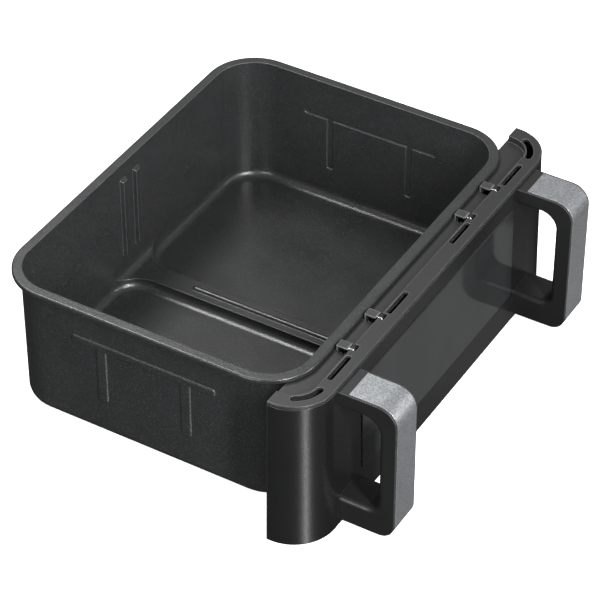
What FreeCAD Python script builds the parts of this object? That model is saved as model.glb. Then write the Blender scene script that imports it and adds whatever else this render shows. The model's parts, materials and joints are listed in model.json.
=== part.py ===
import FreeCAD, Part
import Sketcher
import os

# Drawer of a two-zone air fryer: a pressed pan hooked onto a hollow front with two D handles.
# Millimetres. X runs along the front, +Y from the front to the back of the pan, +Z up.
# The origin is at the middle of the whole drawer's box, level with the bottom of the front.

NODES_FOLDER = "parts"

doc = FreeCAD.newDocument("air_fryer_drawer")

# ---------------------------------------------------------------- driving dimensions

DIMENSIONS = [
    # pan
    ("pan_length", 370.0, "length over the rim, along X"),
    ("pan_depth", 275.2, "depth over the rim, along Y"),
    ("rim_front", -97.8, "Y of the rim's front edge"),
    ("rim_top", 139.2, "height of the rim's top"),
    ("rim_thick", 1.8, "thickness of the rim"),
    ("rim_width", 8.5, "from the rim's outer edge to the inside of the wall"),
    ("rim_drop", 3.6, "height of the rim with its turned-down lip"),
    ("pan_foot", 6.4, "how far the pan's foot reaches below the zone floors"),
    ("rim_corner", 43.7, "corner radius of the rim"),
    ("pan_wall", 1.5, "sheet thickness of the pan"),
    ("zone_floor", 18.0, "height of the two cooking floors"),
    ("land_rise", 8.0, "height of the land between the floors"),
    ("land_half", 9.8, "half width of the land"),
    ("zone_corner", 28.0, "corner radius of a floor beside the land"),
    ("floor_round", 7.6, "radius between walls and floor"),
    ("press_depth", 1.1, "depth of the pressed T lines"),
    ("guide_depth", 3.0, "how far the divider guides stand in from the back wall"),
    # front
    ("front_half", 201.4, "half length of the front at its top"),
    ("front_face", -125.4, "Y of the front face at its top"),
    ("front_back", -87.9, "Y of the back edges of the front"),
    ("front_corner", 34.4, "corner radius of the front at its top"),
    ("front_top", 140.6, "height of the top cover"),
    ("front_lean", 1.0, "lean of the front face, degrees"),
    ("shell_wall", 2.8, "wall of the front housing"),
    ("cover_thick", 2.5, "thickness of the top cover's border"),
    ("border_width", 14.2, "width of the top cover's border"),
    ("plate_top", 134.6, "height of the sunken plate inside the border"),
    ("plate_thick", 2.0, "thickness of the sunken plate"),
    ("slot_width", 4.9, "width of the slots in the border"),
    ("shadow_gap", 0.8, "gap under the border"),
    # window panel, measured up the leaning face
    ("panel_half", 125.2, "half length of the gloss panel"),
    ("panel_low", 29.0, "lower edge of the gloss panel"),
    ("panel_high", 121.0, "upper edge of the gloss panel"),
    ("panel_corner", 4.5, "corner radius of the gloss panel"),
    ("panel_thick", 2.8, "thickness of the gloss panel"),
    ("panel_proud", 0.9, "how far the gloss panel stands out"),
    # handles
    ("handle_offset", 145.6, "X of each handle's middle"),
    ("handle_width", 32.2, "width of a handle"),
    ("handle_front", -176.8, "Y of a handle's outer face"),
    ("handle_high", 137.0, "top of a handle"),
    ("handle_low", 7.0, "bottom of a handle"),
    ("grip_thick", 14.9, "thickness of the grip"),
    ("lower_arm", 23.0, "height of the lower arm"),
    ("handle_round", 16.4, "outer radius at the top of a handle"),
    ("handle_toe", 13.7, "outer radius at the bottom of a handle"),
    ("strip_width", 28.6, "width of the metal strip"),
    ("strip_thick", 1.4, "thickness of the metal strip"),
    ("strip_proud", 0.6, "how far the strip stands out of the grip"),
    ("strip_start", -134.8, "Y where the strip starts on top"),
    ("strip_end", 19.3, "height where the strip ends in front"),
    ("core_width", 16.0, "width of the steel core in a handle"),
    # hooks
    ("hook_inner", 72.9, "X of the inner hooks"),
    ("hook_outer", 116.3, "X of the outer hooks"),
    ("hook_width", 8.0, "width of a hook"),
    ("hook_shift", 1.4, "how far each hook sits to the right of its centre line"),
    ("hook_room", 0.8, "clear room in the cover at each side of a hook"),
    ("catch_width", 7.4, "width of the bright edge of a catch"),
    ("catch_thick", 0.9, "thickness of a catch"),
    ("sheet_thick", 1.2, "thickness of the bracket sheet"),
    ("hook_rise_back", -99.6, "Y of the back of a hook's upright"),
    ("hook_tip", -108.9, "Y of a hook's tip"),
]

sheet = doc.addObject("Spreadsheet::Sheet", "Sizes")
for row, (alias, number, meaning) in enumerate(DIMENSIONS, start=1):
    sheet.set("A%d" % row, meaning)
    sheet.set("B%d" % row, str(number))
    sheet.setAlias("B%d" % row, alias)
doc.recompute()

SIZE_NAMES = sorted([entry[0] for entry in DIMENSIONS], key=len, reverse=True)


def sized(formula):
    """The formula with every size name pointed at the sheet."""
    words = []
    word = ""
    for letter in formula + " ":
        if letter.isalnum() or letter == "_":
            word += letter
        else:
            words.append("Sizes." + word if word in SIZE_NAMES else word)
            words.append(letter)
            word = ""
    return "".join(words).strip()


def number(formula):
    """The value of a formula such as 'pan_length / 2'."""
    return float(sheet.evalExpression(sized(formula)))


def bind(thing, prop, formula):
    thing.setExpression(prop, sized(formula))


# ---------------------------------------------------------------- sketch helpers

ORIGIN_ROLES = {"XY": "XY_Plane", "XZ": "XZ_Plane", "YZ": "YZ_Plane"}
ALONG, UP = 0, 1
START, END = 1, 2
ORIGIN_POINT = (-1, 1)
AXES = {ALONG: -2, UP: -1}
TINY = 1e-6


def new_body(name):
    body = doc.addObject("PartDesign::Body", name)
    body.Label = name
    return body


def new_sketch(body, name, plane, lift="0"):
    """A sketch on one of the body's own planes, lifted along that plane's normal."""
    sketch = body.newObject("Sketcher::SketchObject", name)
    for feature in body.Origin.OriginFeatures:
        if feature.Role == ORIGIN_ROLES[plane]:
            sketch.AttachmentSupport = [(feature, "")]
    sketch.MapMode = "FlatFace"
    bind(sketch, "AttachmentOffset.Base.z", lift)
    return sketch


def hold(sketch, direction, line, formula):
    """Keep a line's start at a distance from the origin along one direction."""
    value = number(formula)
    kind = "DistanceX" if direction == ALONG else "DistanceY"
    if abs(value) < TINY:
        sketch.addConstraint(Sketcher.Constraint("PointOnObject", line, START, AXES[direction]))
        return
    ends = ORIGIN_POINT + (line, START) if value > 0 else (line, START) + ORIGIN_POINT
    index = sketch.addConstraint(Sketcher.Constraint(kind, *ends, abs(value)))
    sign = "" if value > 0 else "-"
    bind(sketch, "Constraints[%d]" % index, "%s(%s)" % (sign, formula))


def stepped_outline(sketch, corners):
    """A closed outline of level and upright lines, each corner (x, y, radius) as formulas."""
    places = [FreeCAD.Vector(number(x), number(y), 0) for x, y, radius in corners]
    radii = [number(radius) for x, y, radius in corners]
    count = len(corners)
    trims = []
    for i in range(count):
        before = (places[i - 1] - places[i]).normalize()
        after = (places[(i + 1) % count] - places[i]).normalize()
        trims.append((places[i] + before * radii[i], places[i] + after * radii[i], before, after))
    lines = []
    for i in range(count):
        first = trims[i][1]
        last = trims[(i + 1) % count][0]
        lines.append(sketch.addGeometry(Part.LineSegment(first, last), False))
    for i in range(count):
        line = lines[i]
        level = abs(places[(i + 1) % count].y - places[i].y) < TINY
        sketch.addConstraint(Sketcher.Constraint("Horizontal" if level else "Vertical", line))
    for i in range(count):
        arriving = lines[i - 1]
        leaving = lines[i]
        if radii[i] < TINY:
            sketch.addConstraint(Sketcher.Constraint("Coincident", arriving, END, leaving, START))
            continue
        entry, leave, before, after = trims[i]
        centre = places[i] + (before + after) * radii[i]
        middle = centre - (before + after).normalize() * radii[i]
        arc = sketch.addGeometry(Part.Arc(entry, middle, leave), False)
        arc_start = sketch.getPoint(arc, START)
        near = START if (arc_start - entry).Length < TINY * 100 else END
        far = END if near == START else START
        sketch.addConstraint(Sketcher.Constraint("Tangent", arriving, END, arc, near))
        sketch.addConstraint(Sketcher.Constraint("Tangent", arc, far, leaving, START))
        index = sketch.addConstraint(Sketcher.Constraint("Radius", arc, radii[i]))
        bind(sketch, "Constraints[%d]" % index, corners[i][2])
    for i in range(count):
        level = abs(places[(i + 1) % count].y - places[i].y) < TINY
        x, y, radius = corners[i]
        hold(sketch, UP if level else ALONG, lines[i], y if level else x)


def box_corners(left, right, low, high, radius):
    return [(left, low, radius), (right, low, radius), (right, high, radius), (left, high, radius)]


def pad(body, sketch, length, name, taper=None):
    feature = body.newObject("PartDesign::Pad", name)
    feature.Profile = sketch
    bind(feature, "Length", length)
    if taper:
        bind(feature, "TaperAngle", taper)
    sketch.Visibility = False
    doc.recompute()
    return feature


def pocket(body, sketch, length, name, upward=False):
    """Cut a sketch down from its plane, or up from it; stop if nothing is cut."""
    before = body.Shape.Volume
    feature = body.newObject("PartDesign::Pocket", name)
    feature.Profile = sketch
    bind(feature, "Length", length)
    feature.Reversed = upward
    sketch.Visibility = False
    doc.recompute()
    if body.Shape.Volume > before - TINY:
        raise RuntimeError("pocket %s cut nothing" % name)
    return feature


def edges_where(shape, test):
    return ["Edge%d" % (i + 1) for i, edge in enumerate(shape.Edges) if test(edge)]


def fillet(body, base, radius, test, name):
    feature = body.newObject("PartDesign::Fillet", name)
    feature.Base = (base, edges_where(base.Shape, test))
    bind(feature, "Radius", radius)
    doc.recompute()
    return feature


def flat_at(height):
    """A test for edges that lie level at one height."""
    def test(edge):
        box = edge.BoundBox
        return abs(box.ZMin - height) < 0.01 and abs(box.ZMax - height) < 0.01
    return test


def tool_body(name):
    """A body that only cuts or joins; it is not written out."""
    return new_body(name)


def joined(name, pieces):
    fusion = doc.addObject("Part::MultiFuse", name)
    fusion.Shapes = pieces
    doc.recompute()
    return fusion


def cut(name, base, tool):
    result = doc.addObject("Part::Cut", name)
    result.Base = base
    result.Tool = tool
    result.Label = name
    doc.recompute()
    return result


def place(thing, x="0", y="0", z="0"):
    for axis, formula in (("x", x), ("y", y), ("z", z)):
        bind(thing, "Placement.Base." + axis, formula)


def block(name, x, y, z, length, width, height):
    box = doc.addObject("Part::Box", name)
    place(box, x, y, z)
    bind(box, "Length", length)
    bind(box, "Width", width)
    bind(box, "Height", height)
    return box


def rod_along_y(name, x, y, z, radius, length):
    """A round rod from y towards +Y."""
    rod = doc.addObject("Part::Cylinder", name)
    rod.Placement.Rotation = FreeCAD.Rotation(FreeCAD.Vector(1, 0, 0), -90)
    place(rod, x, y, z)
    bind(rod, "Radius", radius)
    bind(rod, "Height", length)
    return rod


# ---------------------------------------------------------------- the pan

RIM_BACK = "rim_front + pan_depth"


def pan_outline(inset, radius_loss):
    """The pan's rounded rectangle, so far inside the rim's edge."""
    radius = "rim_corner - (%s)" % radius_loss
    left = "-(pan_length / 2 - (%s))" % inset
    right = "pan_length / 2 - (%s)" % inset
    return box_corners(left, right, "rim_front + (%s)" % inset,
                       RIM_BACK + " - (%s)" % inset, radius)


OUTSIDE = "rim_width - pan_wall"
PAN_UNDER = "zone_floor - pan_foot"
LAND_TOP = "zone_floor + land_rise"

pan_outside = new_body("pan_outside")
wall_sketch = new_sketch(pan_outside, "pan_wall_outline", "XY", PAN_UNDER)
stepped_outline(wall_sketch, pan_outline(OUTSIDE, OUTSIDE))
wall_pad = pad(pan_outside, wall_sketch, "rim_top - (%s)" % PAN_UNDER, "pan_wall_pad")
fillet(pan_outside, wall_pad, "floor_round + pan_wall",
                   flat_at(number(PAN_UNDER)), "pan_low_round")
rim_sketch = new_sketch(pan_outside, "rim_outline", "XY", "rim_top - rim_drop")
stepped_outline(rim_sketch, pan_outline("0", "0"))
rim_pad = pad(pan_outside, rim_sketch, "rim_drop", "rim_pad")
RIM_TOP = number("rim_top")
fillet(pan_outside, rim_pad, "rim_thick * 0.8", flat_at(RIM_TOP), "rim_edge_round")
lip_room = new_sketch(pan_outside, "lip_room", "XY", "rim_top - rim_drop")
stepped_outline(lip_room, pan_outline("rim_thick", "rim_thick"))
stepped_outline(lip_room, pan_outline(OUTSIDE, OUTSIDE))
pocket(pan_outside, lip_room, "rim_drop - rim_thick", "lip_room_cut", upward=True)
FOOT_INSIDE = "(%s + 13)" % OUTSIDE
foot_room = new_sketch(pan_outside, "foot_room", "XY", PAN_UNDER)
stepped_outline(foot_room, pan_outline(FOOT_INSIDE, FOOT_INSIDE))
pocket(pan_outside, foot_room, "pan_foot - pan_wall", "foot_room_cut", upward=True)

HOLLOW_RISE = 20.0
pan_hollow = tool_body("pan_hollow")
hollow_sketch = new_sketch(pan_hollow, "hollow_outline", "XY", LAND_TOP)
stepped_outline(hollow_sketch, pan_outline("rim_width", "rim_width"))
hollow_pad = pad(pan_hollow, hollow_sketch, "rim_top - (%s) + %g" % (LAND_TOP, HOLLOW_RISE),
                 "hollow_pad")
fillet(pan_hollow, hollow_pad, "floor_round", flat_at(number(LAND_TOP)), "hollow_round")

zone_left = tool_body("zone_left")
zone_sketch = new_sketch(zone_left, "zone_outline", "XY", "zone_floor")
zone_outer = "-(pan_length / 2 - rim_width)"
zone_front = "rim_front + rim_width"
zone_back = RIM_BACK + " - rim_width"
WALL_CORNER = "rim_corner - rim_width"
stepped_outline(zone_sketch, [
    (zone_outer, zone_front, WALL_CORNER), ("-land_half", zone_front, "zone_corner"),
    ("-land_half", zone_back, "zone_corner"), (zone_outer, zone_back, WALL_CORNER)])
zone_pad = pad(zone_left, zone_sketch, "land_rise + floor_round", "zone_pad")
fillet(zone_left, zone_pad, "floor_round", flat_at(number("zone_floor")), "zone_round")


def mirrored(name, source):
    twin = doc.addObject("Part::Mirroring", name)
    twin.Source = source
    twin.Normal = (1, 0, 0)
    doc.recompute()
    return twin


zone_right = mirrored("zone_right", zone_left)

# T lines pressed outwards in both end walls: a level bar with two legs
BAR_Z = "rim_top - 36.2"
LEG_END = "rim_top - 90.5"
T_BACK = "rim_front + 202"
T_FRONT = "rim_front + 72"
LEGS = ("rim_front + 98", "rim_front + 176")
BAR_HALF = "2.2"
LEG_HALF = "3.2"


LINE_ROUND = "0.8"


def pressed_lines(name, grow, x, depth):
    """The T lines as a raised slab with a rounded edge, of the given depth, standing at x."""
    body = tool_body(name)
    bar = new_sketch(body, name + "_bar", "YZ", x)
    bar_edge = "%s + %s" % (BAR_HALF, grow)
    stepped_outline(bar, box_corners(T_FRONT + " - " + grow, T_BACK + " + " + grow,
                                     "%s - (%s)" % (BAR_Z, bar_edge),
                                     "%s + (%s)" % (BAR_Z, bar_edge), "1.9"))
    pad(body, bar, depth, name + "_bar_pad")
    for which, leg in enumerate(LEGS):
        leg_edge = "%s + %s" % (LEG_HALF, grow)
        outline = new_sketch(body, "%s_leg_%d" % (name, which), "YZ", x)
        stepped_outline(outline, box_corners("%s - (%s)" % (leg, leg_edge),
                                             "%s + (%s)" % (leg, leg_edge),
                                             "%s - %s" % (LEG_END, grow), BAR_Z, "1.9"))
        pad(body, outline, depth, "%s_leg_pad_%d" % (name, which))
    outer_x = number(x) + number(depth)

    def outer_face(edge):
        box = edge.BoundBox
        return abs(box.XMin - outer_x) < 0.01 and abs(box.XMax - outer_x) < 0.01
    fillet(body, body.Tip, LINE_ROUND, outer_face, name + "_round")
    return body


WALL_INSIDE_X = "pan_length / 2 - rim_width"
ribs_right = pressed_lines("ribs_right", "1.0", WALL_INSIDE_X, "pan_wall + press_depth")
grooves_right = pressed_lines("grooves_right", "0", WALL_INSIDE_X + " - 1", "1 + press_depth")
ribs_left = mirrored("ribs_left", ribs_right)
grooves_left = mirrored("grooves_left", grooves_right)

# two guide ribs on the back wall and one along the land take a divider
GUIDE_INNER = "4.6"
GUIDE_OUTER = "14.2"
GUIDE_LOW = "rim_top - 94.5"
GUIDE_HIGH = "rim_top - 14.5"
BACK_INSIDE = RIM_BACK + " - rim_width"


def pressed_rib(name, x_low, x_high, y, z_low, z_high, depth, slope):
    """A rib with sloping sides that stands out along -Y from the plane y."""
    rib = doc.addObject("Part::Wedge", name)
    rib.Placement.Rotation = FreeCAD.Rotation(FreeCAD.Vector(0, 0, 1), 180)
    bind(rib, "Placement.Base.y", y)
    limits = {"Xmin": "-(%s)" % x_high, "Xmax": "-(%s)" % x_low, "Ymin": "0", "Ymax": depth,
              "Zmin": z_low, "Zmax": z_high, "X2min": "-(%s) + %s" % (x_high, slope),
              "X2max": "-(%s) - %s" % (x_low, slope), "Z2min": "%s + %s" % (z_low, slope),
              "Z2max": "%s - %s" % (z_high, slope)}
    for prop, formula in limits.items():
        setattr(rib, prop, number(formula))
    for prop, formula in limits.items():
        bind(rib, prop, formula)
    return rib


guides = []
guide_dents = []
for side, low, high in (("right", GUIDE_INNER, GUIDE_OUTER),
                        ("left", "-" + GUIDE_OUTER, "-" + GUIDE_INNER)):
    guides.append(pressed_rib("guide_" + side, low, high, BACK_INSIDE + " + 0.5",
                              GUIDE_LOW, GUIDE_HIGH, "guide_depth + 0.5", "2.2"))
    guide_dents.append(pressed_rib("guide_dent_" + side, low + " + 1.2", high + " - 1.2",
                                   BACK_INSIDE + " + pan_wall", GUIDE_LOW + " + 1.2",
                                   GUIDE_HIGH + " - 1.2", "guide_depth", "2.2"))

RIB_ROUND = "2.6"
RIB_FRONT_GAP = "22"
RIB_BACK_GAP = "71.5"
RIB_SUNK = "0.5"
RIB_ENDS = ("rim_front + rim_width + " + RIB_FRONT_GAP, "rim_front + pan_depth - " + RIB_BACK_GAP)
RIB_Z = LAND_TOP + " - " + RIB_SUNK
rib_pieces = [rod_along_y("land_rib_rod", "0", RIB_ENDS[0], RIB_Z, RIB_ROUND,
                          "%s - (%s)" % (RIB_ENDS[1], RIB_ENDS[0]))]
for which, y in enumerate(RIB_ENDS):
    end = doc.addObject("Part::Sphere", "land_rib_end_%d" % which)
    place(end, "0", y, RIB_Z)
    bind(end, "Radius", RIB_ROUND)
    rib_pieces.append(end)
land_rib = joined("land_rib", rib_pieces)

# the land is hollow from below
LAND_SIDE = "3.2"
LAND_END = "40"
LAND_SKIN = "2.1"
LAND_ROOM_Z = "zone_floor - pan_wall - 3"
land_under = block("land_under", "-(land_half - %s)" % LAND_SIDE, "rim_front + " + LAND_END,
                   LAND_ROOM_Z, "2 * (land_half - %s)" % LAND_SIDE,
                   "pan_depth - 2 * " + LAND_END,
                   "%s - %s - (%s)" % (LAND_TOP, LAND_SKIN, LAND_ROOM_Z))

pan_plain = cut("pan_plain", joined("pan_with_ribs", [pan_outside, ribs_right, ribs_left]),
                joined("pan_room", [pan_hollow, zone_left, zone_right, grooves_right,
                                    grooves_left]))
pan_full = joined("pan_full", [pan_plain] + guides + [land_rib])
drawer_pan = cut("drawer_pan", pan_full, joined("pan_dents", guide_dents + [land_under]))

# ---------------------------------------------------------------- the hollow front

GROW = "front_top * tan(front_lean)"
LOW_FACE = "front_face - " + GROW
COVER_UNDER = "front_top - cover_thick"
BEYOND_BACK = "front_back + 12"


def front_outline(inset, grow, back):
    """The front seen from above: square at the back, rounded at the two front corners."""
    half = "front_half + %s - (%s)" % (grow, inset)
    face = "front_face - %s + %s" % (grow, inset)
    round_off = "front_corner + %s - (%s)" % (grow, inset)
    return [("-(%s)" % half, back, "0"), ("-(%s)" % half, face, round_off),
            (half, face, round_off), (half, back, "0")]


front_block = tool_body("front_block")
block_sketch = new_sketch(front_block, "block_outline", "XY")
stepped_outline(block_sketch, front_outline("0", GROW, BEYOND_BACK))
pad(front_block, block_sketch, "front_top", "block_pad", "-front_lean")

front_room = tool_body("front_room")
room_sketch = new_sketch(front_room, "room_outline", "XY", "shell_wall")
stepped_outline(room_sketch, front_outline("shell_wall", GROW, BEYOND_BACK + " + 20"))
pad(front_room, room_sketch, "front_top", "room_pad", "-front_lean")

front_step = tool_body("front_step")
step_sketch = new_sketch(front_step, "step_outline", "XY", "front_top - 20")
stepped_outline(step_sketch, front_outline("1.3", "0", BEYOND_BACK))
pad(front_step, step_sketch, "20 - cover_thick", "step_pad")

above_shell = block("above_shell", "-front_half - 20", "front_face - 20",
                    COVER_UNDER + " - shadow_gap", "2 * front_half + 40", "100", "20")
behind_shell = block("behind_shell", "-front_half - 20", "front_back", "-10",
                     "2 * front_half + 40", "100", "front_top + 40")

# screw posts for the liner and pads behind the handles
LINER_FRONT = "rim_front + rim_width - pan_wall - sheet_thick - 2"
POST_X = ("-front_half + 38", "front_half - 38")
POST_Z = ("13.5", "front_top / 2 - 2", "front_top - 15.6")
SCREW_ROUND = "1.5"


def inside_wall(z):
    """A point in the middle of the leaning front wall at height z."""
    return "front_face + 1.2 - (front_top - (%s)) * tan(front_lean)" % z


posts = []
post_holes = []
liner_holes = []
screw_solids = []
for across, x in enumerate(POST_X):
    for up, z in enumerate(POST_Z):
        spot = "%d_%d" % (across, up)
        posts.append(rod_along_y("post_" + spot, x, inside_wall(z), z, "4.2",
                                 "%s - (%s)" % (LINER_FRONT, inside_wall(z))))
        post_holes.append(rod_along_y("post_hole_" + spot, x, LINER_FRONT + " - 14", z,
                                      SCREW_ROUND + " + 0.05", "20"))
        liner_holes.append(rod_along_y("liner_hole_" + spot, x, LINER_FRONT + " - 1", z,
                                       SCREW_ROUND + " + 0.3", "5"))
        screw_solids.append(rod_along_y("liner_screw_" + spot, x, LINER_FRONT + " - 12", z,
                                        SCREW_ROUND, "14"))
        screw_solids.append(rod_along_y("liner_screw_head_" + spot, x, LINER_FRONT + " + 2", z,
                                        "3.0", "0.9"))

PAD_BACK = "front_face + 4.4"
ARM_HEIGHTS = ("handle_high - grip_thick / 2", "handle_low + lower_arm / 2")
HANDLE_SCREW = "2.0"
wall_pads = []
wall_holes = []
for side in ("-handle_offset", "handle_offset"):
    for level, z in enumerate(ARM_HEIGHTS):
        tag = "%s_%d" % ("left" if side[0] == "-" else "right", level)
        wall_pads.append(block("wall_pad_" + tag, side + " - 9", inside_wall(z), z + " - 5.2",
                               "18", "%s - (%s)" % (PAD_BACK, inside_wall(z)), "8"))
        wall_holes.append(rod_along_y("wall_hole_" + tag, side, "front_face - 10", z,
                                      HANDLE_SCREW + " + 0.3", "20"))


def on_leaning_face(thing):
    """Stand a body on the leaning front face: its own XZ plane becomes that face."""
    bind(thing, "Placement.Base.y", LOW_FACE)
    thing.Placement.Rotation = FreeCAD.Rotation(FreeCAD.Vector(-1, 0, 0), number("front_lean"))
    bind(thing, "Placement.Rotation.Angle", "front_lean")
    return thing


def panel_corners(grow):
    return box_corners("-(panel_half + %s)" % grow, "panel_half + %s" % grow,
                       "panel_low - (%s)" % grow, "panel_high + %s" % grow,
                       "panel_corner + %s" % grow)


def inward_pad(body, outline, length, name):
    outline_pad = pad(body, outline, length, name)
    outline_pad.Reversed = True
    doc.recompute()
    return outline_pad


window_panel = new_body("window_panel")
panel_sketch = new_sketch(window_panel, "panel_outline", "XZ", "panel_proud")
stepped_outline(panel_sketch, panel_corners("0"))
panel_pad = inward_pad(window_panel, panel_sketch, "panel_thick", "panel_pad")
PANEL_FACE = -number("panel_proud")


def at_panel_face(edge):
    box = edge.BoundBox
    return abs(box.YMin - PANEL_FACE) < 0.01 and abs(box.YMax - PANEL_FACE) < 0.01


fillet(window_panel, panel_pad, "0.6", at_panel_face, "panel_edge")
on_leaning_face(window_panel)

GASKET_THICK = "0.6"
GASKET_FRONT = "panel_thick - panel_proud"
window_gasket = new_body("window_gasket")
gasket_sketch = new_sketch(window_gasket, "gasket_outline", "XZ", "-(%s)" % GASKET_FRONT)
stepped_outline(gasket_sketch, panel_corners("-0.5"))
inward_pad(window_gasket, gasket_sketch, GASKET_THICK, "gasket_pad")
gasket_hole = new_sketch(window_gasket, "gasket_hole", "XZ", "-(%s) + 1" % GASKET_FRONT)
stepped_outline(gasket_hole, panel_corners("-4.2"))
pocket(window_gasket, gasket_hole, "4", "gasket_opening", upward=False)
on_leaning_face(window_gasket)

panel_recess = tool_body("panel_recess")
recess_sketch = new_sketch(panel_recess, "recess_outline", "XZ", "5")
stepped_outline(recess_sketch, panel_corners("0.35"))
inward_pad(panel_recess, recess_sketch, "5 + %s + %s" % (GASKET_FRONT, GASKET_THICK),
           "recess_pad")
on_leaning_face(panel_recess)

# a thicker field behind the recess keeps the wall from thinning
panel_back = tool_body("panel_back")
field_sketch = new_sketch(panel_back, "panel_back_outline", "XZ", "-1")
stepped_outline(field_sketch, panel_corners("3"))
inward_pad(panel_back, field_sketch, "3.6", "panel_back_pad")
on_leaning_face(panel_back)

shell_outside = joined("shell_outside", [
    cut("shell_below", front_block, joined("shell_trim", [above_shell, behind_shell])),
    cut("shell_step", front_step, behind_shell)])
shell_hollow = cut("shell_hollow", shell_outside, front_room)
shell_solid = joined("shell_solid", [shell_hollow, panel_back] + posts + wall_pads)
front_housing = cut("front_housing", shell_solid,
                    joined("shell_cuts", [panel_recess] + post_holes + wall_holes))

# ---------------------------------------------------------------- top cover

top_cover_body = new_body("top_cover_body")
PLATE_UNDER = "plate_top - plate_thick"
border = new_sketch(top_cover_body, "cover_outline", "XY", COVER_UNDER)
stepped_outline(border, front_outline("0", "0", "front_back"))
pad(top_cover_body, border, "cover_thick", "cover_pad")
inner_wall = new_sketch(top_cover_body, "cover_inner_outline", "XY", PLATE_UNDER)
stepped_outline(inner_wall, front_outline("shell_wall + 0.3", "0", "front_back + 1.9"))
pad(top_cover_body, inner_wall, "front_top - (%s)" % PLATE_UNDER, "cover_inner_pad")
behind_border = new_sketch(top_cover_body, "behind_border", "XY", "front_top")
stepped_outline(behind_border, box_corners("-front_half", "front_half", "front_back",
                                           "front_back + 5", "0"))
pocket(top_cover_body, behind_border, "front_top - plate_top", "behind_border_cut")
sunken = new_sketch(top_cover_body, "sunken_outline", "XY", "front_top")
stepped_outline(sunken, front_outline("border_width", "0", "front_back + 5"))
pocket(top_cover_body, sunken, "front_top - plate_top", "sunken_cut")
under = new_sketch(top_cover_body, "under_border", "XY", PLATE_UNDER)
OUTER_IN = "shell_wall + 2.3"
INNER_IN = "border_width - 1.6"


def u_channel(outer, inner, back):
    """A U-shaped band between two insets of the front's outline."""
    outer_u = front_outline(outer, "0", back)
    inner_u = front_outline(inner, "0", back)
    return outer_u + inner_u[::-1]


stepped_outline(under, u_channel(OUTER_IN, INNER_IN, "front_back - 2"))
pocket(top_cover_body, under, "%s - (%s)" % (COVER_UNDER, PLATE_UNDER), "under_border_cut",
       upward=True)

pan_gap = new_sketch(top_cover_body, "pan_gap", "XY", "front_top")
GAP = "sheet_thick"
stepped_outline(pan_gap, pan_outline(OUTSIDE + " - " + GAP, OUTSIDE + " - " + GAP))
pocket(top_cover_body, pan_gap, "40", "pan_gap_cut")

SLOT_Y = "front_face + 10.4"
SLOT_SPANS = (("-156.5", "-124.5"), ("-66", "-35.5"), ("35.5", "66"), ("124.5", "156.5"))
for which, (left, right) in enumerate(SLOT_SPANS):
    slot = new_sketch(top_cover_body, "slot_%d" % which, "XY", "front_top")
    stepped_outline(slot, box_corners(left, right, SLOT_Y + " - slot_width / 2",
                                      SLOT_Y + " + slot_width / 2", "slot_width / 2 - 0.2"))
    pocket(top_cover_body, slot, "cover_thick + 1", "slot_cut_%d" % which)

HOOK_SPOTS = (("left_outer", "-hook_outer"), ("left_inner", "-hook_inner"),
              ("right_inner", "hook_inner"), ("right_outer", "hook_outer"))
SEAM_Y = "front_face + border_width"
for name, x in HOOK_SPOTS:
    notch = new_sketch(top_cover_body, "notch_" + name, "XY", "front_top")
    stepped_outline(notch, box_corners(x + " - 1.4", x + " + 6", SEAM_Y + " - 4.6",
                                       SEAM_Y + " + 2", "0.5"))
    pocket(top_cover_body, notch, "40", "notch_cut_" + name)
    rise = new_sketch(top_cover_body, "rise_slot_" + name, "XY", "front_top")
    stepped_outline(rise, box_corners(x + " + hook_shift - hook_width / 2 - hook_room",
                                      x + " + hook_shift + hook_width / 2 + hook_room",
                                      SEAM_Y + " + 1.8", "hook_rise_back + 0.6", "0.5"))
    pocket(top_cover_body, rise, "40", "rise_slot_cut_" + name)
COVER_TOP = number("front_top")


def outer_top_edge(edge):
    box = edge.BoundBox
    level = flat_at(COVER_TOP)(edge)
    front_run = box.YMin < number("front_face") + 0.01
    return level and front_run


fillet(top_cover_body, top_cover_body.Tip, "0.9", outer_top_edge, "cover_edge")


CORNER_SLOT_IN = "9.9"
CORNER_SLOT_WIDER = "0.4"


def corner_slot(name, side, first, last):
    """A slot that follows a front corner, from one angle to another."""
    centre_x = "%sfront_half - (%sfront_corner)" % (side, side)
    centre_y = "front_face + front_corner"
    middle = "front_corner - " + CORNER_SLOT_IN
    half_width = "slot_width / 2 + " + CORNER_SLOT_WIDER
    base = PLATE_UNDER + " + 4"
    rings = []
    for part, radius in (("outer", middle + " + " + half_width),
                         ("inner", "%s - (%s)" % (middle, half_width))):
        ring = doc.addObject("Part::Cylinder", "%s_%s" % (name, part))
        bind(ring, "Radius", radius)
        bind(ring, "Height", "20")
        ring.Placement.Rotation = FreeCAD.Rotation(FreeCAD.Vector(0, 0, 1), first)
        place(ring, centre_x, centre_y, base)
        rings.append(ring)
    rings[0].Angle = last - first
    doc.recompute()
    sector = cut(name + "_sector", rings[0], rings[1])
    ends = []
    for angle in (first, last):
        end = doc.addObject("Part::Cylinder", "%s_end_%d" % (name, len(ends)))
        bind(end, "Radius", half_width)
        bind(end, "Height", "20")
        place(end, "%s + (%s) * cos(%g)" % (centre_x, middle, angle),
              "%s + (%s) * sin(%g)" % (centre_y, middle, angle), base)
        ends.append(end)
    return joined(name, [sector] + ends)


top_cover = cut("top_cover", top_cover_body,
                joined("corner_slots", [corner_slot("corner_slot_right", "", -84, -30),
                                        corner_slot("corner_slot_left", "-", -150, -96)]))

# ---------------------------------------------------------------- liner, insulation, bracket

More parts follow.
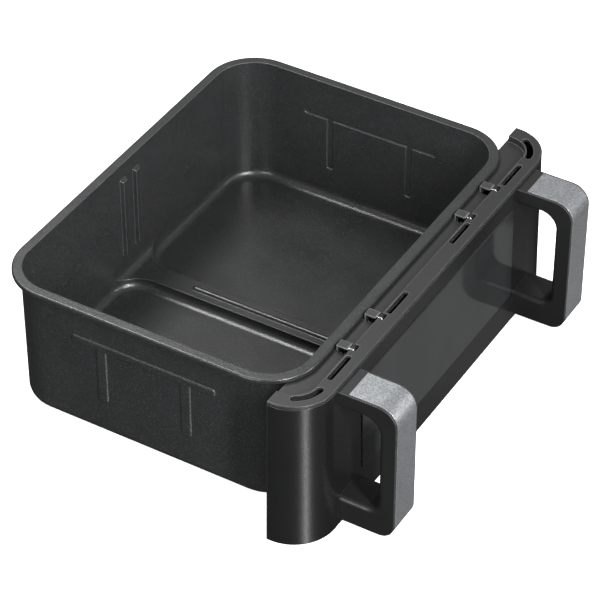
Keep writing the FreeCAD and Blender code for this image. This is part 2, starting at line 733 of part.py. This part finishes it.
liner_plate = new_body("liner_plate")
liner_sketch = new_sketch(liner_plate, "liner_outline", "XZ", "-(%s)" % LINER_FRONT)
LINER_HALF = "front_half - shell_wall - 0.3"
stepped_outline(liner_sketch, box_corners("-(%s)" % LINER_HALF, LINER_HALF, "shell_wall + 0.3",
                                          "plate_top - 5.1", "3"))
inward_pad(liner_plate, liner_sketch, "2", "liner_pad")
inner_liner = cut("inner_liner", liner_plate, joined("liner_holes", liner_holes))
liner_screws = joined("liner_screws", screw_solids)
liner_screws.Label = "liner_screws"

insulation_pad = block("insulation_pad", "-128", LINER_FRONT + " - 17", "21", "256", "17",
                       "front_top - 42")
insulation_pad.Label = "insulation_pad"

PAN_FACE = "rim_front + rim_width - pan_wall"
UNDER_RUN = "plate_top - plate_thick - 1.2 - sheet_thick"
bracket_pieces = [block("bracket_plate", "-126", PAN_FACE + " - sheet_thick", "68", "252",
                        "sheet_thick", "%s + sheet_thick - 68" % UNDER_RUN)]
catch_springs = []
for name, x in HOOK_SPOTS:
    left = x + " + hook_shift - hook_width / 2"
    bracket_pieces.append(block("hook_run_" + name, left, "hook_rise_back - sheet_thick",
                                UNDER_RUN, "hook_width",
                                "%s - hook_rise_back + sheet_thick" % PAN_FACE, "sheet_thick"))
    bracket_pieces.append(block("hook_rise_" + name, left, "hook_rise_back - sheet_thick",
                                UNDER_RUN, "hook_width", "sheet_thick",
                                "front_top - (%s)" % UNDER_RUN))
    bracket_pieces.append(block("hook_top_" + name, left, "hook_tip",
                                "front_top - sheet_thick", "hook_width",
                                "hook_rise_back - hook_tip", "sheet_thick"))
    nose = block("catch_nose_" + name, x + " + hook_shift - catch_width / 2",
                 "hook_tip - catch_thick", "front_top - 1.4", "catch_width", "catch_thick", "1.6")
    arm = block("catch_arm_" + name, x + " - 0.6", "hook_tip - 4.2", "front_top - 1.4",
                "1.4", "3.6", "catch_thick")
    tip = doc.addObject("Part::Sphere", "catch_tip_" + name)
    place(tip, x + " - 0.2", "hook_tip - 4.4", "front_top - 0.9")
    bind(tip, "Radius", "1")
    spring = joined("catch_" + name, [nose, arm, tip])
    spring.Label = "catch_" + name
    catch_springs.append(spring)
pan_bracket = joined("pan_bracket", bracket_pieces)
pan_bracket.Label = "pan_bracket"

# ---------------------------------------------------------------- handles

GRIP_INSIDE = "handle_front + grip_thick"
UPPER_UNDER = "handle_high - grip_thick"
LOWER_TOP = "handle_low + lower_arm"
CORE_OUT = "handle_front + 4"
CORE_HIGH = "handle_high - 4"
CORE_LOW = "handle_low + 8"
CORE = "7"


def handle_slab(name, corners, x, width, half_grow="0"):
    """A shape drawn from the side, centred on the handle's middle at x."""
    body = new_body(name)
    outline = new_sketch(body, name + "_outline", "YZ", "%s - (%s) / 2 - %s" % (x, width, half_grow))
    stepped_outline(outline, corners)
    pad(body, outline, "%s + 2 * %s" % (width, half_grow), name + "_pad")
    return body


def grip_corners(back):
    return [(back, "handle_high", "0"), ("handle_front", "handle_high", "handle_round"),
            ("handle_front", "handle_low", "handle_toe"), (back, "handle_low", "0"),
            (back, LOWER_TOP, "0"), (GRIP_INSIDE, LOWER_TOP, "9.5"),
            (GRIP_INSIDE, UPPER_UNDER, "14.5"), (back, UPPER_UNDER, "0")]


def strip_corners():
    outside = "handle_front - strip_proud"
    inside = "%s + strip_thick" % outside
    top = "handle_high + strip_proud"
    under = "%s - strip_thick" % top
    return [("strip_start", top, "0"), (outside, top, "handle_round + strip_proud"),
            (outside, "strip_end", "0"), (inside, "strip_end", "0"),
            (inside, under, "handle_round + strip_proud - strip_thick"),
            ("strip_start", under, "0")]


def core_corners(back):
    return [(back, CORE_HIGH, "0"), (CORE_OUT, CORE_HIGH, "9"), (CORE_OUT, CORE_LOW, "6"),
            (back, CORE_LOW, "0"), (back, "%s + %s" % (CORE_LOW, CORE), "0"),
            ("%s + %s" % (CORE_OUT, CORE), "%s + %s" % (CORE_LOW, CORE), "2"),
            ("%s + %s" % (CORE_OUT, CORE), "%s - %s" % (CORE_HIGH, CORE), "4"),
            (back, "%s - %s" % (CORE_HIGH, CORE), "0")]


def on_finger_side(side):
    """Edges of the loop on the two flat sides, for the soft finger edges."""
    low = side - number("handle_width") / 2
    high = side + number("handle_width") / 2

    def test(edge):
        box = edge.BoundBox
        flat = box.XLength < 0.01 and min(abs(box.XMin - low), abs(box.XMin - high)) < 0.01
        middle = edge.valueAt((edge.FirstParameter + edge.LastParameter) / 2)
        inside_y = middle.y > number(GRIP_INSIDE) - 0.01
        inside_z = number(LOWER_TOP) - 0.01 < middle.z < number(UPPER_UNDER) + 0.01
        return flat and inside_y and inside_z
    return test


def handle(side_name, x):
    """One handle: grip, metal strip, steel core, screws and the plate inside the front."""
    grip_body = handle_slab("grip_body_" + side_name, grip_corners("front_face + 4"), x,
                            "handle_width")
    fillet(grip_body, grip_body.Tip, "4.6", on_finger_side(number(x)), "finger_round_" + side_name)
    strip = handle_slab("strip_" + side_name, strip_corners(), x, "strip_width")
    strip_room = handle_slab("strip_room_" + side_name, strip_corners(), x, "strip_width", "0.25")
    core_bar = handle_slab("core_bar_" + side_name, core_corners(LOW_FACE + " - 0.6"), x,
                           "core_width")
    core_room = handle_slab("core_room_" + side_name, core_corners("front_face + 4"), x,
                            "core_width")
    screws = []
    holes = []
    for level, z in enumerate(("%s - %s / 2" % (CORE_HIGH, CORE), "%s + %s / 2" % (CORE_LOW, CORE))):
        tag = "%s_%d" % (side_name, level)
        start = LOW_FACE + " - 14"
        head_at = PAD_BACK + " + 2"
        screws.append(rod_along_y("handle_screw_" + tag, x, start, z, HANDLE_SCREW,
                                  "%s - (%s)" % (head_at, start)))
        screws.append(rod_along_y("handle_screw_head_" + tag, x, head_at, z, "4", "2.6"))
        holes.append(rod_along_y("core_hole_" + tag, x, start + " - 1", z,
                                 HANDLE_SCREW + " + 0.05", "40"))
    bar = block("plate_bar_" + side_name, x + " - 8", PAD_BACK, "handle_low + 3", "16", "2",
                "handle_high - handle_low - 8")
    grip = cut("handle_grip_" + side_name, grip_body,
               joined("grip_cuts_" + side_name, [front_block, strip_room, core_room]))
    core = cut("handle_core_" + side_name, core_bar, joined("core_holes_" + side_name, holes))
    plate = cut("handle_plate_" + side_name, bar, joined("plate_holes_" + side_name, holes))
    fixings = joined("handle_screws_" + side_name, screws)
    fixings.Label = "handle_screws_" + side_name
    strip.Label = "handle_strip_" + side_name
    return [grip, strip, core, plate, fixings]


handles = handle("left", "-handle_offset") + handle("right", "handle_offset")

NODES = [drawer_pan, pan_bracket, front_housing, top_cover, window_panel, window_gasket,
         inner_liner, liner_screws, insulation_pad] + catch_springs + handles

# ---------------------------------------------------------------- check and write

os.makedirs(NODES_FOLDER, exist_ok=True)
doc.recompute()
for thing in doc.Objects:
    if "Invalid" in thing.State or "Error" in thing.State:
        raise RuntimeError("%s did not compute" % thing.Name)
for node in NODES:
    if node.Shape.isNull() or not node.Shape.isValid() or not node.Shape.Solids:
        raise RuntimeError("%s has no valid solid" % node.Label)
    node.Shape.exportStep("%s/%s.step" % (NODES_FOLDER, node.Label))
    print(node.Label, len(node.Shape.Solids), round(node.Shape.Volume / 1000.0, 1), "cm3")
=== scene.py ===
import json
import math

import bpy
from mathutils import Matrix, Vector

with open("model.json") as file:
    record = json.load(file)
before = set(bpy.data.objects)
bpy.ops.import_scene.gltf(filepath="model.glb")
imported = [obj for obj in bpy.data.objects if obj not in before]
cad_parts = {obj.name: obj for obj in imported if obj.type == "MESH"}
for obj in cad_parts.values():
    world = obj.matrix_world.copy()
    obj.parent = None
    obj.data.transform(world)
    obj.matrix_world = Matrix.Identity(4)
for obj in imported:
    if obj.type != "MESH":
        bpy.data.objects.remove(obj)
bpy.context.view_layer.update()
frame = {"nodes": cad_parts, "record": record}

nodes = frame["nodes"]

# ---------------------------------------------------------------- materials


class Shader:
    """A material under construction: each call adds one node and returns its output."""

    def __init__(self, name):
        self.material = bpy.data.materials.new(name)
        self.material.use_nodes = True
        self.tree = self.material.node_tree
        self.surface = self.tree.nodes["Principled BSDF"]
        self.place = self.add("ShaderNodeTexCoord").outputs["Object"]

    def add(self, kind, **settings):
        node = self.tree.nodes.new(kind)
        for key, value in settings.items():
            setattr(node, key, value)
        return node

    def link(self, out, socket):
        self.tree.links.new(out, socket)

    def feed(self, socket, value):
        """Sets a socket from a number, a colour or another node's output."""
        if isinstance(value, bpy.types.NodeSocket):
            self.link(value, socket)
        else:
            socket.default_value = value

    def noise(self, size, detail=2.0, rough=0.5, stretch=(1, 1, 1)):
        """Cloudy values around 0.5, with features about size metres wide."""
        scaled = self.add("ShaderNodeMapping")
        self.link(self.place, scaled.inputs["Vector"])
        scaled.inputs["Scale"].default_value = stretch
        noise = self.add("ShaderNodeTexNoise")
        self.link(scaled.outputs["Vector"], noise.inputs["Vector"])
        noise.inputs["Scale"].default_value = 1.0 / size
        noise.inputs["Detail"].default_value = detail
        noise.inputs["Roughness"].default_value = rough
        return noise.outputs["Fac"]

    def cells(self, size):
        """Distance to scattered points about size metres apart, and a colour for each."""
        cells = self.add("ShaderNodeTexVoronoi", feature="F1")
        self.link(self.place, cells.inputs["Vector"])
        cells.inputs["Scale"].default_value = 1.0 / size
        return cells.outputs["Distance"], cells.outputs["Color"]

    def math(self, operation, first, second=0.0):
        node = self.add("ShaderNodeMath", operation=operation)
        self.feed(node.inputs[0], first)
        self.feed(node.inputs[1], second)
        return node.outputs[0]

    def spread(self, value, low, high, new_low=0.0, new_high=1.0):
        """Maps low..high to new_low..new_high, held inside it."""
        node = self.add("ShaderNodeMapRange")
        self.feed(node.inputs["Value"], value)
        for socket, number in (("From Min", low), ("From Max", high), ("To Min", new_low),
                               ("To Max", new_high)):
            self.feed(node.inputs[socket], number)
        return node.outputs["Result"]

    def blend(self, amount, first, second):
        node = self.add("ShaderNodeMix", data_type="RGBA")
        self.feed(node.inputs["Factor"], amount)
        self.feed(node.inputs["A"], first)
        self.feed(node.inputs["B"], second)
        return node.outputs["Result"]

    def edges(self, reach):
        """1 on the flats and towards 0 within reach metres of an edge."""
        bevel = self.add("ShaderNodeBevel")
        bevel.inputs["Radius"].default_value = reach
        geometry = self.add("ShaderNodeNewGeometry")
        dot = self.add("ShaderNodeVectorMath", operation="DOT_PRODUCT")
        self.link(bevel.outputs["Normal"], dot.inputs[0])
        self.link(geometry.outputs["Normal"], dot.inputs[1])
        return dot.outputs["Value"]

    def bump(self, height, depth, strength=1.0, edge_round=0.0007):
        """Surface relief, on normals that turn softly over edge_round metres at each edge."""
        node = self.add("ShaderNodeBump")
        bevel = self.add("ShaderNodeBevel", samples=8)
        bevel.inputs["Radius"].default_value = edge_round
        self.link(bevel.outputs["Normal"], node.inputs["Normal"])
        self.link(height, node.inputs["Height"])
        node.inputs["Distance"].default_value = depth
        node.inputs["Strength"].default_value = strength
        self.link(node.outputs["Normal"], self.surface.inputs["Normal"])

    def finish(self, **sockets):
        for name, value in sockets.items():
            self.feed(self.surface.inputs[name.replace("_", " ")], value)
        return self.material


def grey(level, tint=0.0):
    """An opaque grey; a positive tint leans it to blue."""
    return (level * (1 - tint), level, level * (1 + tint), 1.0)


COATING_GRAIN = 0.0011
COATING_FLECKS = 0.0012
COATING_RELIEF = 0.00016
# reach of the painted highlight along the pan's edges
PAN_EDGE_HIGHLIGHT_REACH = 0.0008  # less than the thickness of the pan's wall
PAN_SOFTNESS = 0.0011


def pan_coating():
    """Dark non-stick coating: fine grain, faint flecks, uneven gloss, and a painted highlight
    along its edges.
    """
    shader = Shader("pan_coating_speckle")
    cloud = shader.noise(0.035, 4.0)
    grain = shader.noise(COATING_GRAIN, 2.0)
    distance, colour = shader.cells(COATING_FLECKS)
    fleck = shader.spread(distance, 0.18, 0.34, 1.0, 0.0)
    chance = shader.spread(colour, 0.50, 0.72)
    fleck = shader.math("MULTIPLY", fleck, chance)
    base = shader.blend(cloud, grey(0.011, 0.03), grey(0.018, 0.03))
    base = shader.blend(shader.spread(grain, 0.35, 0.7), base, grey(0.024, 0.03))
    base = shader.blend(shader.math("MULTIPLY", fleck, 0.7), base, grey(0.085))
    # painted highlight: the colour turns paler within a millimetre of each edge, where edges
    # catch the light
    edge = shader.spread(shader.edges(PAN_EDGE_HIGHLIGHT_REACH), 0.80, 0.99, 1.0, 0.0)
    base = shader.blend(shader.math("MULTIPLY", edge, 0.7), base, grey(0.13, 0.02))
    rough = shader.spread(cloud, 0.3, 0.7, 0.27, 0.34)
    shader.bump(grain, COATING_RELIEF, 1.0, PAN_SOFTNESS)
    return shader.finish(Base_Color=base, Roughness=rough, Specular_IOR_Level=0.6)


GRAIN_SIZE = 0.0006
GRAIN_DEPTH = 0.00004
# reach of the painted highlight along moulded edges
MOULDED_EDGE_HIGHLIGHT_REACH = 0.0012


def moulded(name, low, high, rough_low, rough_high):
    """Moulded plastic: a fine even texture, faint clouding, and a painted highlight along its
    edges, broken into patches.
    """
    shader = Shader(name)
    cloud = shader.noise(0.05, 3.0)
    grain = shader.noise(GRAIN_SIZE, 2.0)
    base = shader.blend(cloud, grey(low, 0.015), grey(high, 0.015))
    # painted highlight: edges lightened in patches towards seven times the lighter grey
    painted_edge_highlight = shader.spread(shader.edges(MOULDED_EDGE_HIGHLIGHT_REACH), 0.90, 0.995, 1.0, 0.0)
    painted_edge_highlight = shader.math("MULTIPLY", painted_edge_highlight, shader.spread(shader.noise(0.008), 0.2, 0.6, 0.5, 1.0))
    base = shader.blend(shader.math("MULTIPLY", painted_edge_highlight, 0.7), base, grey(high * 7, 0.015))
    rough = shader.spread(grain, 0.3, 0.7, rough_low, rough_high)
    shader.bump(grain, GRAIN_DEPTH, 0.6)
    return shader.finish(Base_Color=base, Roughness=rough)


def gloss_panel():
    """Dark smoked gloss sheet with hairline wipes in its gloss."""
    shader = Shader("panel_smoked_gloss")
    cloud = shader.noise(0.06, 3.0)
    wipes = shader.noise(0.004, 4.0, 0.6, (0.1, 1, 1))
    base = shader.blend(cloud, grey(0.012, 0.03), grey(0.024, 0.03))
    rough = shader.spread(wipes, 0.35, 0.75, 0.05, 0.13)
    shader.bump(cloud, 0.00006, 0.25)
    return shader.finish(Base_Color=base, Roughness=rough, Specular_IOR_Level=0.5)


FLAKE_SIZE = 0.0007


def metallic_lacquer():
    """Grey metallic lacquer: tiny flakes, brighter and darker, under a satin coat."""
    shader = Shader("strip_metallic_lacquer")
    _, colour = shader.cells(FLAKE_SIZE)
    flake = shader.spread(colour, 0.25, 0.8)
    cloud = shader.noise(0.04, 3.0)
    base = shader.blend(flake, grey(0.20, 0.04), grey(0.38, 0.04))
    base = shader.blend(shader.math("MULTIPLY", cloud, 0.3), base, grey(0.30, 0.04))
    rough = shader.spread(flake, 0.0, 1.0, 0.36, 0.46)
    shader.bump(flake, 0.00003, 0.35)
    return shader.finish(Base_Color=base, Roughness=rough, Metallic=0.75, Coat_Weight=0.15,
                         Coat_Roughness=0.3)


def bare_steel(name, level, rough_low, rough_high):
    """Pressed steel with drawn lines along X and small dull patches."""
    shader = Shader(name)
    lines = shader.noise(0.0008, 3.0, 0.6, (0.05, 1, 1))
    patches = shader.noise(0.006, 3.0)
    base = shader.blend(patches, grey(level * 0.85), grey(level))
    rough = shader.spread(lines, 0.3, 0.7, rough_low, rough_high)
    shader.bump(lines, 0.00002, 0.4)
    return shader.finish(Base_Color=base, Roughness=rough, Metallic=1.0)


def felt():
    """Pale matted fibre."""
    shader = Shader("insulation_fibre")
    fibres = shader.noise(0.0012, 5.0, 0.7)
    cloud = shader.noise(0.02, 3.0)
    base = shader.blend(cloud, (0.62, 0.60, 0.54, 1), (0.75, 0.73, 0.68, 1))
    shader.bump(fibres, 0.0006, 0.8)
    return shader.finish(Base_Color=base, Roughness=0.95)


slot_materials = {
    "pan_coating": pan_coating(),
    "housing_black": moulded("housing_satin_black", 0.006, 0.009, 0.26, 0.34),
    "cover_grey": moulded("cover_matte_grey", 0.014, 0.019, 0.34, 0.44),
    "panel_gloss": gloss_panel(),
    "gasket_rubber": moulded("gasket_soft_black", 0.012, 0.018, 0.7, 0.85),
    "liner_plastic": moulded("liner_plain_black", 0.020, 0.026, 0.5, 0.6),
    "insulation_felt": felt(),
    "bracket_paint": moulded("bracket_dark_paint", 0.022, 0.030, 0.34, 0.44),
    "spring_steel": bare_steel("catch_spring_steel", 0.70, 0.18, 0.30),
    "grip_plastic": moulded("grip_soft_black", 0.007, 0.011, 0.32, 0.42),
    "strip_metallic": metallic_lacquer(),
    "core_steel": bare_steel("core_mill_steel", 0.45, 0.35, 0.5),
    "screw_steel": bare_steel("screw_zinc_steel", 0.55, 0.25, 0.4),
}

for sub in frame["record"]["subparts"]:
    node = nodes[sub["node"]]
    node.data.materials.clear()
    node.data.materials.append(slot_materials[sub["material_slot"]])

# ---------------------------------------------------------------- floor, light, camera

floor_mesh = bpy.data.meshes.new("floor")
FLOOR_REACH = 6.0
FLOOR_GAP = 0.0005
floor_corners = [(x * FLOOR_REACH, y * FLOOR_REACH, 0)
                 for x, y in ((-1, -1), (1, -1), (1, 1), (-1, 1))]
floor_mesh.from_pydata(floor_corners, [], [(0, 1, 2, 3)])
floor = bpy.data.objects.new("floor", floor_mesh)
floor.location.z = -FLOOR_GAP
bpy.context.scene.collection.objects.link(floor)
floor_paint = bpy.data.materials.new("floor_pale")
floor_paint.use_nodes = True
floor_surface = floor_paint.node_tree.nodes["Principled BSDF"]
floor_surface.inputs["Base Color"].default_value = grey(0.8)
floor_surface.inputs["Roughness"].default_value = 0.9
floor_surface.inputs["Emission Color"].default_value = grey(1.0)
floor_surface.inputs["Emission Strength"].default_value = 0.8
floor_mesh.materials.append(floor_paint)
# the floor shows and takes faint shadows, but throws no light back up at the dark object,
# and lets the low strip lights through as a lit table would
floor.visible_diffuse = False
floor.visible_glossy = False
floor.visible_shadow = False

bpy.context.scene.view_settings.view_transform = "Standard"
world = bpy.data.worlds.new("studio")
bpy.context.scene.world = world
world.use_nodes = True
sky = world.node_tree
direction = sky.nodes.new("ShaderNodeTexCoord").outputs["Generated"]
height = sky.nodes.new("ShaderNodeSeparateXYZ")
sky.links.new(direction, height.inputs["Vector"])
glow = sky.nodes.new("ShaderNodeMapRange")
sky.links.new(height.outputs["Z"], glow.inputs["Value"])
# dim below the horizon, brighter overhead
SKY_RANGE = {"From Min": -0.3, "From Max": 0.7, "To Min": 0.04, "To Max": 0.45}
for socket, number in SKY_RANGE.items():
    glow.inputs[socket].default_value = number
sky.links.new(glow.outputs["Result"], sky.nodes["Background"].inputs["Strength"])
sky.nodes["Background"].inputs["Color"].default_value = (1, 1, 1, 1)


def softbox(name, place, target, width, height, power):
    """A rectangular light of width by height metres and power watts, aimed at target."""
    light = bpy.data.lights.new(name, "AREA")
    light.shape = "RECTANGLE"
    light.size = width
    light.size_y = height
    light.energy = power
    lamp = bpy.data.objects.new(name, light)
    lamp.location = place
    lamp.rotation_euler = (Vector(target) - Vector(place)).to_track_quat("-Z", "Y").to_euler()
    bpy.context.scene.collection.objects.link(lamp)


MIDDLE = (0, 0, 0.1)
FRONT_LEFT_CORNER = (-0.17, -0.1, 0.07)
PANEL_MIDDLE = (0.05, -0.13, 0.07)
softbox("softbox_top", (0.3, 0.8, 1.6), MIDDLE, 0.8, 0.5, 22)
softbox("softbox_corner", (-0.85, -1.46, 1.2), MIDDLE, 0.22, 1.2, 62)
softbox("softbox_left", (-1.9, 0.1, 0.7), MIDDLE, 0.5, 1.0, 26)
softbox("softbox_front", (0.5, -1.9, 0.8), MIDDLE, 0.4, 1.0, 26)
# upright walls seen from above mirror what lies below them, so these two make their bands
softbox("strip_low_corner", (-0.76, -1.09, -0.88), FRONT_LEFT_CORNER, 0.16, 1.0, 5)
softbox("strip_low_front", (0.91, -0.64, -0.76), PANEL_MIDDLE, 0.5, 0.25, 0.08)

VIEW_AZIMUTH = math.radians(-59.19)
VIEW_ELEVATION = math.radians(39.59)
SENSOR_WIDTH = 36
FOCAL_LENGTH = 170.4
CAMERA_PLACE = (-1.5475, -0.9195, 1.5471)
camera_data = bpy.data.cameras.new("camera")
camera_data.sensor_width = SENSOR_WIDTH
camera_data.lens = FOCAL_LENGTH
camera = bpy.data.objects.new("camera", camera_data)
camera.location = CAMERA_PLACE
towards_camera = Vector((math.sin(VIEW_AZIMUTH) * math.cos(VIEW_ELEVATION),
                         -math.cos(VIEW_AZIMUTH) * math.cos(VIEW_ELEVATION),
                         math.sin(VIEW_ELEVATION)))
camera.rotation_euler = (-towards_camera).to_track_quat("-Z", "Y").to_euler()
bpy.context.scene.collection.objects.link(camera)
bpy.context.scene.camera = camera
